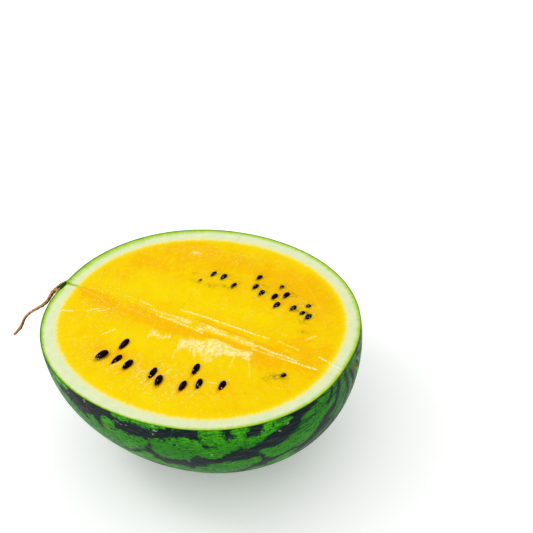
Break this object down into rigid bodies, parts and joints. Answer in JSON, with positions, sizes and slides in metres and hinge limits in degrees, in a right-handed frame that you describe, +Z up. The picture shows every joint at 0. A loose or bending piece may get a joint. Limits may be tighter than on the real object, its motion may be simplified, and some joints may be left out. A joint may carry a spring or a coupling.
{
  "type": "half yellow watermelon",
  "caption": "Half of a yellow-fleshed watermelon cut lengthwise, lying cut face up on its rounded striped skin, with its dried stem and dark seeds.",
  "frame": {"origin": "centre of the small flat ground spot under the rounded skin, on the surface that the half rests on", "axes": "+Z up, square to the level cut face; X along the fruit's length, stem end at -X and blossom end at +X; +Y to the side of the crowded far seed row"},
  "size_m": [0.2922, 0.2091, 0.1127],
  "materials": {
    "fruit": "moist yellow flesh over pale rind, in a smooth skin striped dark and light green",
    "dried_stem": "dry, ridged, matte brown",
    "seed_coat": "wet, glossy brown-black"
  },
  "bodies": {
    "root": {"melon_half": "fruit", "stem": "dried_stem", "seed_01": "seed_coat", "seed_02": "seed_coat", "seed_03": "seed_coat", "seed_04": "seed_coat", "seed_05": "seed_coat", "seed_06": "seed_coat", "seed_07": "seed_coat", "seed_08": "seed_coat", "seed_09": "seed_coat", "seed_10": "seed_coat", "seed_11": "seed_coat", "seed_12": "seed_coat", "seed_13": "seed_coat", "seed_14": "seed_coat", "seed_15": "seed_coat", "seed_16": "seed_coat", "seed_17": "seed_coat", "seed_18": "seed_coat", "seed_19": "seed_coat", "seed_20": "seed_coat", "seed_21": "seed_coat", "seed_22": "seed_coat", "seed_23": "seed_coat", "seed_24": "seed_coat", "seed_25": "seed_coat", "seed_26": "seed_coat"}
  },
  "joints": []
}
